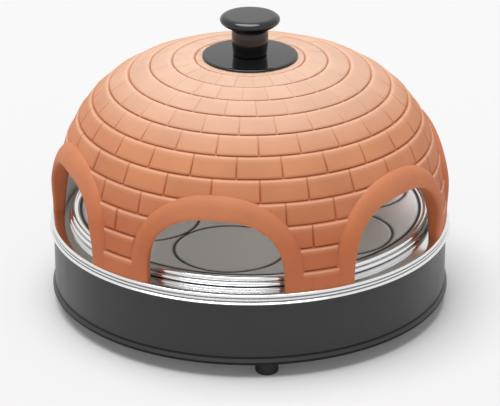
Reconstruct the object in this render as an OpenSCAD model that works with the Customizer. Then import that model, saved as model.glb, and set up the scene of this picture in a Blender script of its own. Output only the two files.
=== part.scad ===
// Round electric oven for six small pizzas: a steel base with two tubular
// heating elements, a stainless baking plate and a lift-off terracotta dome.
// Origin: centre of the footprint, on the surface that the feet stand on.
// +Z is up and -Y is the front. Azimuths count from the front towards +X.

/* [Base] */
// Outer radius of the black steel housing
body_r = 195; // [190:0.5:197]
// Height of the housing's lower edge above the table
body_bottom = 14; // [12:0.5:16]
// Height of the ledge that the dome stands on
ledge_z = 86; // [84:0.5:90]
// Outer radius of the polished trim at its lip
lip_r = 198.8; // [198.5:0.1:200]
// Turn of the base, which its feet and its inlet follow
base_turn = 5; // [-15:1:15]
// Sheet thickness of the housing
sheet = 1.2; // [0.8:0.1:1.5]

/* [Feet] */
// Radius of a rubber foot
foot_r = 11; // [9:0.5:11]
// Radius of the circle that the feet stand on
foot_circle_r = 182; // [170:1:182]

/* [Baking plate] */
// Outer radius of the baking plate's rolled rim
plate_r = 177; // [174:0.5:177]
// Height of the plate's flat top
plate_z = 94; // [93:0.5:96]
// Thickness of the plate
plate_t = 1.5; // [1:0.1:2]
// Number of pizza circles, which is also the number of windows
places = 6; // [4:1:6]
// Radius of one pressed pizza circle
circle_r = 53.5; // [40:0.5:54]
// Distance of a circle's centre from the middle
circle_pitch_r = 110; // [108:1:112]

/* [Dome] */
// Largest radius of the dome's outer curve
dome_r = 196; // [194:0.5:196]
// Height of the dome's crown above the table
crown_z = 250.3; // [248:0.1:254]
// Exponent of the dome's outline: 2 is an ellipse, more is squarer
dome_power = 3; // [2.7:0.1:3.2]
// Thickness of the terracotta wall
dome_wall = 11; // [10:0.5:13]
// How far the arch bands stand out of the wall
band_relief = 5; // [2:0.5:5]
// Turn of the dome and the plate on the base
dome_turn = -10; // [-30:1:30]

/* [Windows] */
// Half the width of a window at its foot
window_half_w = 64.5; // [50:0.5:66]
// Height of a window above the ledge
window_h = 69; // [50:1:72]
// Half the width of an arch band at its foot
band_half_w = 81; // [75:0.5:84]
// Height of an arch band above the ledge
band_h = 90.5; // [80:0.5:92]

/* [Knob] */
// Radius of the knob's flange
flange_r = 46.7; // [40:0.1:50]
// Radius of the knob's post
post_r = 17.9; // [14:0.1:20]
// Radius of the knob's cap
cap_r = 29.3; // [24:0.1:34]
// Height of the knob's top above the table
knob_top_z = 292; // [286:0.5:296]

/* [Heating elements] */
// Radius of a heating element's tube
tube_r = 3.3; // [3:0.1:4]
// Radius of the upper element's ring
upper_ring_r = 122.5; // [110:0.5:126]
// Height of the upper element
upper_ring_z = 134; // [130:0.5:136]
// Distance of the upper element's legs from the middle
upper_leg_r = 163; // [160:0.5:164]
// Radius of the lower element's ring
lower_ring_r = 118; // [100:0.5:120]
// Height of the lower element
lower_ring_z = 72; // [70:0.5:76]
// Distance of the lower element's legs from the middle
lower_leg_r = 150; // [146:0.5:152]
// Azimuth of the lower element's legs
lower_leg_az = 230; // [226:1:234]

/* [Power inlet and switch] */
// Azimuth of the mains cord's gland, from the base's own front
gland_az = 180; // [176:1:184]
// Height of the gland and of the switch
inlet_z = 48; // [44:1:52]
// Radius of the gland's bore, for a round mains cord
gland_bore_r = 3.75; // [3:0.05:4.5]
// Azimuth of the rocker switch, from the base's own front
switch_az = 145; // [140:1:150]
// Angle that the rocker turns through from off to on
rocker_throw = 16; // [10:1:18]

/* [Hidden] */
$fn = 120;

fit_gap = 0.3;
// Height of the bottom pan's underside and of its upper face
pan_z = body_bottom + 2;
pan_t = 1;
pan_top = pan_z + pan_t;
// Inner radius of the housing's wall
wall_in_r = body_r - sheet;
// Height of the housing's top, under the ledge
trim_t = 1.1;
housing_top = ledge_z - trim_t;
// The reflector bowl's wall and floor
bowl_t = 1;
bowl_bead_r = 2.2;
bowl_bead_mid_r = plate_r;
bowl_in_r = bowl_bead_mid_r - bowl_bead_r + 0.2;
bowl_floor_z = 58;
bowl_corner_r = 6;
// The ledge's inner edge, which carries the bowl's bead
ledge_in_r = plate_r - 0.8;
// The plate's rolled rim
plate_bead_r = 2.5;
plate_bead_mid_r = plate_r - plate_bead_r;
plate_bead_z = plate_z - plate_t;
step = 360 / places;
// The dome's curve: a superellipse about this height
dome_mid_z = 37.3;
dome_rise = crown_z - dome_mid_z;
dome_steps = 26;
seat_z = crown_z - 1.1;
gasket_t = 0.5;
flange_z = seat_z + gasket_t;
flange_t = 2.6;
grip_z = flange_z + flange_t;
boss_z = crown_z - dome_wall - 1.5;
washer_t = 1.5;
washer_z = boss_z - washer_t;
// Screw radii: M4 in the base and M5 in the knob
m4_r = 2;
m5_r = 2.5;
// The upper element's legs stand behind a pillar of the dome
upper_leg_az = 200;
leg_gap = 14;
bend_r = 12;
leg_end_z = 44;
pin_end_z = 34;
bushing_r = 4.5;
lead_r = 1.4;
rocker_pivot_r = body_r - 3;
black_paint = "#2f3033";
steel = "#c9ccd0";
dark_rubber = "#1d1d1f";
terracotta = "#c97f5b";
gloss_black = "#151517";

// Turns its children to an azimuth, with outward along -Y
module at_az(azimuth) rotate([0, 0, azimuth]) children();

// A point given by azimuth, radius and height
function polar(azimuth, radius, z) =
    [radius * sin(azimuth), -radius * cos(azimuth), z];

// Sheet or bead profile of a turned part
module turned(points) rotate_extrude() polygon(points);

// Cylinder whose axis runs outward, between two radii
module outward(radius, from_r, to_r, z)
    translate([0, -from_r, z]) rotate([90, 0, 0])
        cylinder(r = radius, h = to_r - from_r);

// Block whose middle lies outward, between two radii
module outward_block(half_w, from_r, to_r, z_low, z_high)
    translate([-half_w, -to_r, z_low])
        cube([2 * half_w, to_r - from_r, z_high - z_low]);

// Block shifted sideways from the azimuth's own line
module outward_block_at(x, half_w, from_r, to_r, z_low, z_high)
    translate([x, 0, 0]) outward_block(half_w, from_r, to_r, z_low, z_high);

// ---- housing and bottom ----

module outer_housing() color(black_paint) difference() {
    turned([
        [wall_in_r - 8, housing_top], [body_r, housing_top],
        [body_r, body_bottom + 6], [body_r + 2.5, body_bottom + 2.5],
        [body_r + 2.5, body_bottom], [body_r + 1.2, body_bottom],
        [body_r + 1.2, body_bottom + 2], [wall_in_r, body_bottom + 5.6],
        [wall_in_r, housing_top - sheet], [wall_in_r - 8, housing_top - sheet]]);
    at_az(base_turn + gland_az) outward(8.2, 180, 205, inlet_z);
    at_az(base_turn + switch_az)
        outward_block(13.7, 185, 205, inlet_z - 7.4, inlet_z + 7.4);
}

foot_azimuths = [for (i = [0:3]) base_turn + i * 90];
pan_screw_azimuths = [for (i = [0:3]) base_turn + 45 + i * 90];
pan_screw_r = 183;

module bottom_pan() color("#4a4b4e") difference() {
    translate([0, 0, pan_z]) cylinder(r = wall_in_r - fit_gap, h = pan_t);
    for (a = foot_azimuths)
        translate(polar(a, foot_circle_r, pan_z - 1)) cylinder(r = m4_r + 0.2, h = 4);
    for (a = pan_screw_azimuths)
        translate(polar(a, pan_screw_r, pan_z - 1)) cylinder(r = m4_r + 0.2, h = 4);
    for (i = [0:11])
        at_az(base_turn + 15 + i * 30)
            outward_block(2, 60, 90, pan_z - 1, pan_top + 1);
}

module pan_brackets() color("#8d9094")
    for (a = pan_screw_azimuths) at_az(a - 90) difference() {
        union() {
            rotate([0, 0, -3]) rotate_extrude(angle = 6)
                translate([wall_in_r - 1.2, pan_top]) square([1.2, 18]);
            rotate([0, 0, -3]) rotate_extrude(angle = 6)
                translate([pan_screw_r - 7, pan_top])
                    square([wall_in_r - pan_screw_r + 7, 1.2]);
        }
        translate([pan_screw_r, 0, pan_top - 1]) cylinder(r = m4_r - 0.2, h = 4);
    }

// Round-headed screw that points up, with its head's top face at z
module screw_up(z, head_r, head_h, shank_r, shank_h) {
    translate([0, 0, z - head_h]) cylinder(r1 = head_r * 0.72, r2 = head_r, h = head_h);
    translate([0, 0, z]) cylinder(r = shank_r, h = shank_h);
}

module pan_screws() color(steel)
    for (a = pan_screw_azimuths) translate(polar(a, pan_screw_r, 0))
        screw_up(pan_z, 3.8, 1.8, m4_r - 0.25, 7);

module foot(azimuth) color(dark_rubber) translate(polar(azimuth, foot_circle_r, 0))
    difference() {
        union() {
            cylinder(r1 = foot_r - 1, r2 = foot_r, h = 1.5);
            translate([0, 0, 1.5]) cylinder(r = foot_r, h = pan_z - 1.5);
        }
        translate([0, 0, -1]) cylinder(r = 5, h = 7);
        cylinder(r = m4_r + 0.2, h = pan_z + 1);
    }
module foot_front() foot(foot_azimuths[0]);
module foot_right() foot(foot_azimuths[1]);
module foot_back() foot(foot_azimuths[2]);
module foot_left() foot(foot_azimuths[3]);

module foot_screws() color(steel)
    for (a = foot_azimuths) translate(polar(a, foot_circle_r, 0))
        screw_up(6, 4.2, 2.4, m4_r, 15.5);

module foot_nuts() color(steel)
    for (a = foot_azimuths) translate(polar(a, foot_circle_r, pan_top)) difference() {
        cylinder(r = 4.04, h = 3.2, $fn = 6);
        translate([0, 0, -1]) cylinder(r = m4_r + 0.05, h = 6);
    }

// ---- polished trim and reflector ----

// The trim's face carries two fine grooves and ends in a flared lip
module trim_ring() color(steel) turned([
    [ledge_in_r, ledge_z], [lip_r - 3.2, ledge_z],
    [lip_r - 2.1, ledge_z - 0.5], [lip_r - 1.6, ledge_z - 1.6],
    [lip_r - 1.6, ledge_z - 3.1], [lip_r - 2, ledge_z - 3.4],
    [lip_r - 2, ledge_z - 3.9], [lip_r - 1.6, ledge_z - 4.2],
    [lip_r - 1.6, ledge_z - 5.8], [lip_r - 2, ledge_z - 6.1],
    [lip_r - 2, ledge_z - 6.6], [lip_r - 1.6, ledge_z - 6.9],
    [lip_r, ledge_z - 8.4], [lip_r, ledge_z - 9.2],
    [lip_r - 1, ledge_z - 9.2], [lip_r - 2.8, ledge_z - 7],
    [lip_r - 2.8, ledge_z - 1.8], [lip_r - 3.4, ledge_z - trim_t],
    [ledge_in_r, ledge_z - trim_t]]);

// Points of a quarter arc, from one angle to another
function arc(cx, cz, radius, from_a, to_a, count = 8) =
    [for (i = [0:count]) let (a = from_a + (to_a - from_a) * i / count)
        [cx + radius * cos(a), cz + radius * sin(a)]];

bowl_corner_mid = [bowl_in_r - bowl_corner_r, bowl_floor_z + bowl_corner_r];

module reflector_bowl() color(steel) difference() {
    union() {
        turned(concat(
            [[0, bowl_floor_z]],
            arc(bowl_corner_mid[0], bowl_corner_mid[1], bowl_corner_r, -90, 0),
            [[bowl_in_r, ledge_z + 1.2], [bowl_in_r + bowl_t, ledge_z + 1.2]],
            arc(bowl_corner_mid[0], bowl_corner_mid[1],
                bowl_corner_r + bowl_t, 0, -90),
            [[0, bowl_floor_z - bowl_t]]));
        rotate_extrude() translate([bowl_bead_mid_r, ledge_z + bowl_bead_r])
            circle(r = bowl_bead_r);
    }
    for (side = [-1, 1]) {
        at_az(upper_leg_az) translate([side * leg_gap, -upper_leg_r, 0])
            translate([0, 0, bowl_floor_z - 5]) cylinder(r = bushing_r + 0.1, h = 10);
        at_az(lower_leg_az) translate([side * leg_gap, -lower_leg_r, 0])
            translate([0, 0, bowl_floor_z - 5]) cylinder(r = bushing_r + 0.1, h = 10);
    }
}

shield_r = 132;
shield_z = 46;
spacer_azimuths = [for (i = [0:2]) 20 + i * 120];
spacer_circle_r = 100;

module heat_shield() color("#b9bbbd") difference() {
    translate([0, 0, shield_z]) cylinder(r = shield_r, h = 0.8);
    for (a = spacer_azimuths)
        translate(polar(a, spacer_circle_r, shield_z - 1)) cylinder(r = m4_r + 0.2, h = 3);
}

module shield_spacers() color("#b9bbbd")
    for (a = spacer_azimuths)
        translate(polar(a, spacer_circle_r, shield_z + 0.8)) difference() {
            cylinder(r = 4, h = bowl_floor_z - bowl_t - shield_z - 0.8);
            translate([0, 0, -1]) cylinder(r = m4_r + 0.05, h = 8);
        }

module shield_screws() color(steel)
    for (a = spacer_azimuths) translate(polar(a, spacer_circle_r, 0))
        screw_up(shield_z, 3.8, 2, m4_r, 6);

// ---- heating elements ----

// Tubular element: a nearly closed ring whose two ends run outward and bend
// down into legs. The legs end in bare connection pins.
module heating_element(ring_r, ring_z, leg_r, leg_az) {
    bend_mid_x = sqrt(pow(ring_r + bend_r, 2) - pow(leg_gap + bend_r, 2));
    tangent_a = atan2(leg_gap + bend_r, bend_mid_x);
    run_end = leg_r - bend_r;
    at_az(leg_az) rotate([0, 0, -90]) {
        translate([0, 0, ring_z]) rotate([0, 0, tangent_a])
            rotate_extrude(angle = 360 - 2 * tangent_a)
                translate([ring_r, 0]) circle(r = tube_r, $fn = 32);
        for (side = [0, 1]) mirror([0, side, 0]) {
            element_joint([ring_r * cos(tangent_a), ring_r * sin(tangent_a), ring_z]);
            element_joint([bend_mid_x, leg_gap, ring_z]);
            element_joint([run_end, leg_gap, ring_z]);
            element_joint([leg_r, leg_gap, ring_z - bend_r]);
            translate([bend_mid_x, leg_gap + bend_r, ring_z])
                rotate([0, 0, 180 + tangent_a])
                    rotate_extrude(angle = 90 - tangent_a)
                        translate([bend_r, 0]) circle(r = tube_r, $fn = 32);
            translate([bend_mid_x, leg_gap, ring_z]) rotate([0, 90, 0])
                cylinder(r = tube_r, h = run_end - bend_mid_x, $fn = 32);
            translate([run_end, leg_gap, ring_z - bend_r]) rotate([90, 0, 0])
                rotate_extrude(angle = 90)
                    translate([bend_r, 0]) circle(r = tube_r, $fn = 32);
            translate([leg_r, leg_gap, leg_end_z])
                cylinder(r = tube_r, h = ring_z - bend_r - leg_end_z, $fn = 32);
            translate([leg_r, leg_gap, pin_end_z])
                cylinder(r = 1.2, h = leg_end_z - pin_end_z, $fn = 32);
        }
    }
}

// Slight swelling where two lengths of tube were brazed together
module element_joint(place) translate(place) sphere(r = tube_r + 0.12, $fn = 32);

module upper_heating_element() color("#6d6e70")
    heating_element(upper_ring_r, upper_ring_z, upper_leg_r, upper_leg_az);

module lower_heating_element() color("#5c5d60")
    heating_element(lower_ring_r, lower_ring_z, lower_leg_r, lower_leg_az);

// Cradles that carry the lower ring on the bowl's floor
module lower_element_clips() color(steel)
    for (i = [0:2]) at_az(i * 120 + 50) difference() {
        outward_block(4, lower_ring_r - 5.5, lower_ring_r + 5.5,
            bowl_floor_z, lower_ring_z);
        translate([0, 0, lower_ring_z]) rotate_extrude()
            translate([lower_ring_r, 0]) circle(r = tube_r + 0.05, $fn = 32);
    }

// Post between the upper element's legs, with an arm under its two runs
bracket_arm_z = upper_ring_z - tube_r - 1.5;
module upper_element_bracket() color(steel) at_az(upper_leg_az) {
    outward_block(6, upper_leg_r - 3, upper_leg_r - 1, bowl_floor_z, bracket_arm_z);
    outward_block(6, upper_leg_r - 14, upper_leg_r - 1, bowl_floor_z,
        bowl_floor_z + 1.5);
    outward_block(6, upper_leg_r - 26, upper_leg_r - 1, bracket_arm_z,
        bracket_arm_z + 1.5);
    outward_block(18, upper_leg_r - 26, upper_leg_r - 17, bracket_arm_z,
        bracket_arm_z + 1.5);
}

module bushing(radius, azimuth)
    for (side = [-1, 1]) at_az(azimuth) translate([side * leg_gap, -radius, 0])
        difference() {
            union() {
                translate([0, 0, bowl_floor_z - 8]) cylinder(r = bushing_r, h = 8);
                translate([0, 0, bowl_floor_z]) cylinder(r = bushing_r + 0.9, h = 2);
            }
            translate([0, 0, bowl_floor_z - 9]) cylinder(r = tube_r + 0.15, h = 12);
        }

module element_bushings() color("#e8e4da") {
    bushing(upper_leg_r, upper_leg_az);
    bushing(lower_leg_r, lower_leg_az);
}

// ---- controls and wiring ----

thermostat_az = 120;
thermostat_r = 150;
module thermostat() color("#d8cfb4") {
    at_az(thermostat_az) {
        translate([0, -thermostat_r, bowl_floor_z - bowl_t - 9])
            cylinder(r = 8.5, h = 9);
        translate([0, -thermostat_r, bowl_floor_z - bowl_t - 12])
            cylinder(r = 7, h = 3);
        for (side = [-1, 1])
            outward_block_at(side * 5, 0.4, thermostat_r - 3, thermostat_r + 3,
                bowl_floor_z - bowl_t - 20, bowl_floor_z - bowl_t - 12);
    }
}

fuse_az = 258;
fuse_r = 148;
module thermal_fuse() color("#cfd2d6") at_az(fuse_az) {
    translate([-13, -fuse_r, bowl_floor_z - bowl_t - 4]) rotate([0, 90, 0])
        cylinder(r = 3, h = 26);
    outward_block(3, fuse_r - 8, fuse_r + 8, bowl_floor_z - bowl_t - 1.2,
        bowl_floor_z - bowl_t);
    outward_block(3, fuse_r - 4.2, fuse_r - 2.9, bowl_floor_z - bowl_t - 6,
        bowl_floor_z - bowl_t - 1.2);
    outward_block(3, fuse_r + 2.9, fuse_r + 4.2, bowl_floor_z - bowl_t - 6,
        bowl_floor_z - bowl_t - 1.2);
}

block_r = 150;
module terminal_block() color("#e9e6dd") at_az(base_turn + gland_az) difference() {
    outward_block(17, block_r - 9, block_r + 9, pan_top, pan_top + 14);
    for (i = [-1:1]) {
        translate([i * 10, 0, 0])
            outward(2, block_r - 12, block_r + 12, pan_top + 6);
        translate([i * 10, -block_r - 4, pan_top + 7]) cylinder(r = 2.2, h = 10);
        translate([i * 10, -block_r + 4, pan_top + 7]) cylinder(r = 2.2, h = 10);
    }
}

// Sleeved lead through a list of points, as straight lengths that overlap a
// little at each bend
module lead(points) {
    last = len(points) - 2;
    for (i = [0:last]) {
        d = points[i + 1] - points[i];
        before = i == 0 ? 0 : 0.5;
        after = i == last ? 0 : 0.5;
        translate(points[i]) rotate([0, acos(d[2] / norm(d)), atan2(d[1], d[0])])
            translate([0, 0, -before])
                cylinder(r = lead_r, h = norm(d) + before + after, $fn = 8);
    }
}

block_az = base_turn + gland_az;
rocker_az = base_turn + switch_az;
block_back_r = block_r - 9 - lead_r;
pin_z = pin_end_z - lead_r;
// Azimuth step from an element's middle line to one of its legs
upper_pin_az = atan(leg_gap / upper_leg_r);
lower_pin_az = atan(leg_gap / lower_leg_r);
upper_pin_r = norm([leg_gap, upper_leg_r]);
lower_pin_r = norm([leg_gap, lower_leg_r]);

module switch_lead() color("#7a4a2a") lead([
    polar(block_az - 4, block_back_r, 23), polar(block_az - 8, 132, 23),
    polar(rocker_az + 8, 134, 32), polar(rocker_az + 2.5, 150, 44),
    polar(rocker_az + 2.5, 163.4, inlet_z)]);

module live_lead() color("#7a4a2a") lead([
    polar(rocker_az - 2.5, 163.4, inlet_z), polar(rocker_az - 4, 150, 42),
    polar(thermostat_az + 10, 146, 30),
    polar(thermostat_az + 1.9, thermostat_r, bowl_floor_z - bowl_t - 21.5)]);

module element_lead() color("#7a4a2a") lead([
    polar(thermostat_az - 1.9, thermostat_r, bowl_floor_z - bowl_t - 21.5),
    polar(thermostat_az + 1, 126, 27), polar(block_az - 10, 112, 25),
    polar(upper_leg_az - 6.5, 138, 26),
    polar(upper_leg_az - upper_pin_az, upper_pin_r, pin_z)]);

module neutral_lead() color("#33567f") lead([
    polar(block_az + 4, block_back_r, 23), polar(block_az + 9, 130, 22),
    polar(lower_leg_az - 12, 128, 22),
    polar(lower_leg_az - lower_pin_az, lower_pin_r - 6, 28),
    polar(lower_leg_az - lower_pin_az, lower_pin_r, pin_z)]);

module earth_lead() color("#5c8f3a") lead([
    polar(block_az, block_back_r, 23), polar(block_az, 124, 20.5),
    polar(block_az - 6, 104, pan_top + lead_r), polar(block_az - 8, 98, pan_top + lead_r)]);

// Bushing that the mains cord leaves by, flush with the trim's lip
gland_flange_t = 3.6;
module cord_gland() color(dark_rubber) at_az(base_turn + gland_az) difference() {
    union() {
        outward(11, body_r, body_r + gland_flange_t, inlet_z);
        outward(8, 178, body_r, inlet_z);
    }
    outward(gland_bore_r, 170, 205, inlet_z);
}

module gland_nut() color("#3a3a3c") at_az(base_turn + gland_az)
    translate([0, -187, inlet_z]) rotate([90, 0, 0]) difference() {
        cylinder(r = 13, h = 6.3, $fn = 6);
        translate([0, 0, -1]) cylinder(r = 8.05, h = 9);
    }

switch_half_w = 13.4;
switch_half_h = 7.2;
cavity_half_w = 12.9;
cavity_half_h = 5.6;
module switch_housing() color("#202022") at_az(rocker_az) difference() {
    union() {
        intersection() {
            outward_block(16, 190, 197.4, inlet_z - 9.5, inlet_z + 9.5);
            difference() {
                cylinder(r = lip_r, h = 100);
                cylinder(r = body_r + 0.02, h = 100);
            }
        }
        outward_block(switch_half_w, 170, body_r + 1,
            inlet_z - switch_half_h, inlet_z + switch_half_h);
        for (side = [-1, 1])
            outward_block_at(side * 7, 0.4, 164, 170, inlet_z - 2.4, inlet_z + 2.4);
    }
    outward_block(cavity_half_w, 184, 205,
        inlet_z - cavity_half_h, inlet_z + cavity_half_h);
    translate([0, -rocker_pivot_r, inlet_z - 6.8]) cylinder(r = 1.35, h = 13.6);
}

// Rocker drawn in its off position, tilted about its own pin
module switch_rocker() color("#a3161a") at_az(rocker_az)
    translate([0, -rocker_pivot_r, inlet_z]) rotate([0, 0, -rocker_throw / 2]) {
        translate([0, 0, -5.2]) linear_extrude(height = 10.4)
            polygon([[-12, -3.9], [0, -2.4], [12, -3.9], [12, -1.5],
                [7, 4], [-7, 4], [-12, -1.5]]);
        translate([0, 0, -6.6]) cylinder(r = 1.25, h = 13.2);
    }

// ---- baking plate ----

module baking_plate() color(steel) difference() {
    union() {
        translate([0, 0, plate_z - plate_t]) cylinder(r = plate_bead_mid_r, h = plate_t);
        rotate_extrude() translate([plate_bead_mid_r, plate_bead_z])
            circle(r = plate_bead_r);
    }
    for (i = [0:places - 1]) at_az(dome_turn + i * step)
        translate([0, -circle_pitch_r, plate_z]) rotate_extrude()
            polygon([[circle_r - 1.2, 0.1], [circle_r - 0.5, -0.6],
                [circle_r + 0.5, -0.6], [circle_r + 1.2, 0.1]]);
    translate([0, 0, plate_z]) rotate_extrude()
        polygon([[plate_r - 10, 0.1], [plate_r - 9.4, -0.5],
            [plate_r - 8.6, -0.5], [plate_r - 8, 0.1]]);
    at_az(upper_leg_az)
        outward_block(leg_gap + tube_r + 2.5, upper_leg_r - tube_r - 3, plate_r + 5,
            plate_z - 10, plate_z + 10);
}

// ---- dome ----

// Radius of the dome's curve at a height, drawn in by an inset
function dome_radius(z, inset = 0) = let (u = (z - dome_mid_z) / (dome_rise - inset))
    (dome_r - inset) * pow(1 - pow(u, dome_power), 1 / dome_power);

// Heights that crowd together towards the crown, where the curve is flat
function dome_heights(top) =
    [for (i = [0:dome_steps]) ledge_z + (top - ledge_z) * sin(90 * i / dome_steps)];

// How far the bands stand out at a height: they fade at the ledge
function relief_at(z) = band_relief * (0.3 + 0.7 * min(1, (z - ledge_z) / 18));

function wall_curve(inset, top) =
    [for (z = dome_heights(top)) [dome_radius(z, inset), z]];

inner_top = crown_z - dome_wall;
outer_curve = wall_curve(0, seat_z);
// The inner curve stops just short of the crown, and closes on the axis
inner_curve = wall_curve(dome_wall, inner_top - 0.05);

module dome_shell() turned(concat(
    outer_curve, [[0, seat_z], [0, inner_top]],
    [for (i = [len(inner_curve) - 1:-1:0]) inner_curve[i]]));

module relief_shell() turned(concat(
    [for (p = outer_curve) if (p[1] < 190) [p[0] + relief_at(p[1]), p[1]]],
    [for (i = [len(outer_curve) - 1:-1:0]) let (p = outer_curve[i])
        if (p[1] < 190) [p[0] - 3, p[1]]]));

// Arch outline: straight feet that run into a superellipse
spring_h = 12;
arch_steps = 12;
function arch(half_w, height, power) = concat(
    [[half_w, ledge_z - 6]],
    [for (i = [0:arch_steps]) let (a = 180 * i / arch_steps, c = cos(a), s = sin(a))
        [sign(c) * half_w * pow(abs(c), 2 / power),
            ledge_z + spring_h + (height - spring_h) * pow(s, 2 / power)]],
    [[-half_w, ledge_z - 6]]);

module radial_prism(outline)
    rotate([90, 0, 0]) linear_extrude(height = 240) polygon(outline);

module terracotta_dome() color(terracotta) difference() {
    union() {
        dome_shell();
        translate([0, 0, boss_z]) cylinder(r = 16, h = 4);
        intersection() {
            relief_shell();
            for (i = [0:places - 1]) at_az(dome_turn + i * step)
                radial_prism(arch(band_half_w, band_h, 2.2));
        }
    }
    for (i = [0:places - 1]) at_az(dome_turn + i * step)
        radial_prism(arch(window_half_w, window_h, 2.5));
    translate([0, 0, boss_z - 5]) cylinder(r = 4, h = 30);
}

// ---- knob ----

module knob_gasket() color("#5a5148") difference() {
    translate([0, 0, seat_z]) cylinder(r = 42, h = gasket_t);
    translate([0, 0, seat_z - 1]) cylinder(r = 6, h = 4);
}

module knob_flange() color(gloss_black) turned(concat(
    [[m5_r + 0.3, flange_z], [flange_r - 1, flange_z]],
    arc(flange_r - 0.9, flange_z + 1.1, 0.9, -60, 70),
    [[flange_r - 2.6, flange_z + 2.15], [post_r, grip_z], [m5_r + 0.3, grip_z]]));

module knob_grip() color(gloss_black) difference() {
    turned([
        [0, grip_z], [post_r - 1.4, grip_z], [post_r - 1.2, grip_z + 4],
        [post_r - 0.4, grip_z + 10], [post_r, grip_z + 19], [post_r, knob_top_z - 14],
        [post_r + 1.4, knob_top_z - 12.1], [cap_r - 7, knob_top_z - 10.6],
        [cap_r - 3.8, knob_top_z - 9], [cap_r - 1.3, knob_top_z - 7],
        [cap_r - 0.2, knob_top_z - 5.2], [cap_r, knob_top_z - 3.7],
        [cap_r - 1, knob_top_z - 2.4], [cap_r - 3.8, knob_top_z - 1.4],
        [cap_r - 8, knob_top_z - 0.5], [cap_r - 13, knob_top_z],
        [0, knob_top_z]]);
    translate([0, 0, grip_z - 1]) cylinder(r = 4.5, h = 21);
}

module knob_insert() color("#b08d4a") difference() {
    translate([0, 0, grip_z + 0.2]) cylinder(r = 4.45, h = 18);
    translate([0, 0, grip_z - 1]) cylinder(r = m5_r - 0.35, h = 30);
}

screw_head_h = 2.8;
module knob_screw() color(steel) {
    translate([0, 0, washer_z - screw_head_h]) cylinder(r1 = 3.8, r2 = 5, h = screw_head_h);
    translate([0, 0, washer_z]) cylinder(r = m5_r - 0.4, h = grip_z + 16 - washer_z);
}

module knob_washer() color(steel) difference() {
    translate([0, 0, washer_z]) cylinder(r = 12, h = washer_t);
    translate([0, 0, washer_z - 1]) cylinder(r = m5_r + 0.2, h = 4);
}

outer_housing();
bottom_pan();
pan_brackets();
pan_screws();
foot_front();
foot_right();
foot_back();
foot_left();
foot_screws();
foot_nuts();
trim_ring();
reflector_bowl();
heat_shield();
shield_spacers();
shield_screws();
lower_heating_element();
lower_element_clips();
upper_heating_element();
upper_element_bracket();
element_bushings();
thermostat();
thermal_fuse();
terminal_block();
switch_lead();
live_lead();
element_lead();
neutral_lead();
earth_lead();
cord_gland();
gland_nut();
switch_housing();
switch_rocker();
baking_plate();
terracotta_dome();
knob_gasket();
knob_flange();
knob_grip();
knob_insert();
knob_screw();
knob_washer();
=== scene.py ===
import math

import bmesh
import bpy
import mathutils
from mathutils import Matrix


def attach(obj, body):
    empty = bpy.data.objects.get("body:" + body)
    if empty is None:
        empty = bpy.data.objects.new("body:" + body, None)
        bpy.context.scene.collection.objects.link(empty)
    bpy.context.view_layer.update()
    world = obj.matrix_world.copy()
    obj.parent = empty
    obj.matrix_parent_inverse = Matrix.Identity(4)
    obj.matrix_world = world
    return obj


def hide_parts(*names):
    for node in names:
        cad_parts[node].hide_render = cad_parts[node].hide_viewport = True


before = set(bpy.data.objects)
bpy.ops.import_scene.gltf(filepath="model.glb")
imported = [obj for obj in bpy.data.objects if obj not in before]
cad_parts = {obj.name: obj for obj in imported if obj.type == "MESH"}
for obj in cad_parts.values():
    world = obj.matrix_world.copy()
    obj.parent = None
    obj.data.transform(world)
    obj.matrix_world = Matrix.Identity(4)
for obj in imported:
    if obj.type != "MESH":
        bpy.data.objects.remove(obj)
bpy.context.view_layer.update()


# ---- Camera ----
# The photograph is a product shot taken from in front of the oven and well above
# it, through a long lens. The place and pitch were fitted to the rims' ellipses.

photo_width_px = 500
focal_length_px = 2600
camera_pitch = 23.358

camera_data = bpy.data.cameras.new("studio_camera")
camera_data.sensor_width = 36
camera_data.lens = 36 * focal_length_px / photo_width_px
camera_data.clip_end = 50
camera = bpy.data.objects.new("studio_camera", camera_data)
camera.location = (0, -2.3728, 1.1191)
camera.rotation_euler = (math.radians(90 - camera_pitch), 0, 0)
bpy.context.scene.collection.objects.link(camera)
bpy.context.scene.camera = camera


# ---- Rubber feet ----
# Four moulded rubber buttons under the rim of the base. Each has a hollow for
# its screw's head and is held to the bottom pan by that screw and a nut.

def linear(hex_colour):
    """Blender's linear colour for an sRGB hex value, with alpha 1."""
    channels = [int(hex_colour[i : i + 2], 16) / 255 for i in (1, 3, 5)]
    return [c / 12.92 if c <= 0.04045 else ((c + 0.055) / 1.055) ** 2.4 for c in channels] + [1]


def add_node(tree, kind, inputs=None, **settings):
    """A node with its settings. An input takes a value, a socket or a node's first output."""
    node = tree.nodes.new(kind)
    for name, value in settings.items():
        setattr(node, name, value)
    for key, value in (inputs or {}).items():
        if isinstance(value, bpy.types.Node):
            value = value.outputs[0]
        if isinstance(value, bpy.types.NodeSocket):
            tree.links.new(value, node.inputs[key])
        else:
            node.inputs[key].default_value = value
    return node


def new_material(name, values):
    """A material with one Principled shader, whose uniform values are set on its own sockets."""
    material = bpy.data.materials.new(name)
    material.use_nodes = True
    tree = material.node_tree
    tree.nodes.clear()
    shader = add_node(tree, "ShaderNodeBsdfPrincipled", values)
    add_node(tree, "ShaderNodeOutputMaterial", {"Surface": shader})
    return material


def feed(material, socket, output):
    """Links an output to a socket of the material's shader."""
    tree = material.node_tree
    tree.links.new(output, tree.nodes["Principled BSDF"].inputs[socket])


def grain_bump(material, size_mm, depth_mm):
    """Fine bump on Object coordinates, with grains of that size."""
    tree = material.node_tree
    place = add_node(tree, "ShaderNodeTexCoord").outputs["Object"]
    grain = add_node(
        tree, "ShaderNodeTexNoise", {"Vector": place, "Scale": 1000 / size_mm, "Detail": 4.0}
    )
    height = {"Height": grain.outputs["Fac"], "Strength": 1.0, "Distance": depth_mm / 1000}
    feed(material, "Normal", add_node(tree, "ShaderNodeBump", height).outputs["Normal"])


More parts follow.
